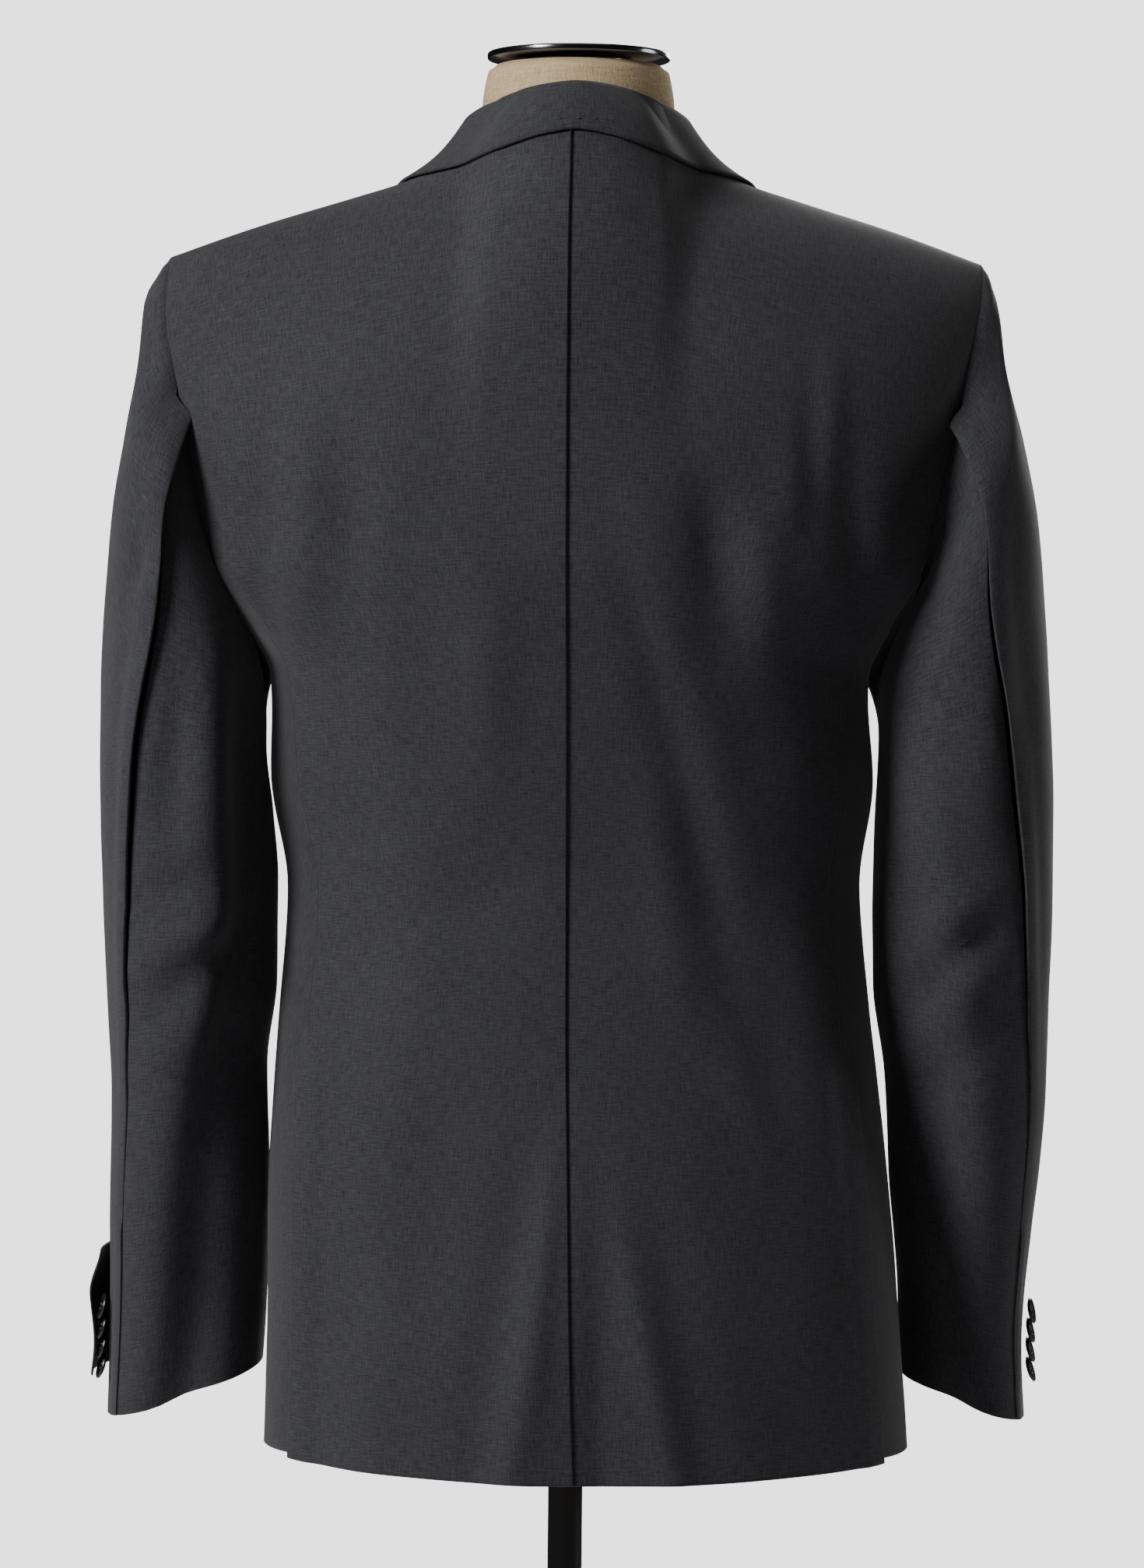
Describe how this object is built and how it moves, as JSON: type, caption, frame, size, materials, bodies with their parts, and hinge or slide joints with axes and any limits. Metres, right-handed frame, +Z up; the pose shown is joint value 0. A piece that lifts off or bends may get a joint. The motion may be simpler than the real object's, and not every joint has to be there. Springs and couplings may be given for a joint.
{
  "type": "blazer on dress form",
  "caption": "Men's single-breasted wool blazer with notch lapels and side vents, worn by a limbless dress form on a pole stand.",
  "frame": {"origin": "centre of the stand base's underside, on the floor", "axes": "+Z up the stand, -Y out of the garment's front, +X towards the wearer's left"},
  "size_m": [0.5386, 0.38, 1.5665],
  "materials": {
    "suiting": "fine charcoal worsted wool, matt with a faint slub in both directions",
    "linen": "natural linen stretched over the form",
    "label_cloth": "black woven ribbon, bare",
    "horn_button": "near-black horn look, half gloss",
    "dark_chrome": "polished, dark",
    "black_steel": "black powder coat"
  },
  "bodies": {
    "root": {"back_left": "suiting", "back_right": "suiting", "side_left": "suiting", "side_right": "suiting", "front_left": "suiting", "front_right": "suiting", "lapel_left": "suiting", "lapel_right": "suiting", "collar": "suiting", "sleeve_top_left": "suiting", "sleeve_top_right": "suiting", "sleeve_under_left": "suiting", "sleeve_under_right": "suiting", "pocket_flap_left": "suiting", "pocket_flap_right": "suiting", "cuff_button_left_1": "horn_button", "cuff_button_left_2": "horn_button", "cuff_button_left_3": "horn_button", "cuff_button_left_4": "horn_button", "cuff_button_right_1": "horn_button", "cuff_button_right_2": "horn_button", "cuff_button_right_3": "horn_button", "cuff_button_right_4": "horn_button", "front_button_1": "horn_button", "front_button_2": "horn_button", "cuff_label_left": "label_cloth", "form_torso": "linen", "neck_cap": "dark_chrome", "stand_pole": "black_steel", "stand_base": "black_steel"}
  },
  "joints": []
}
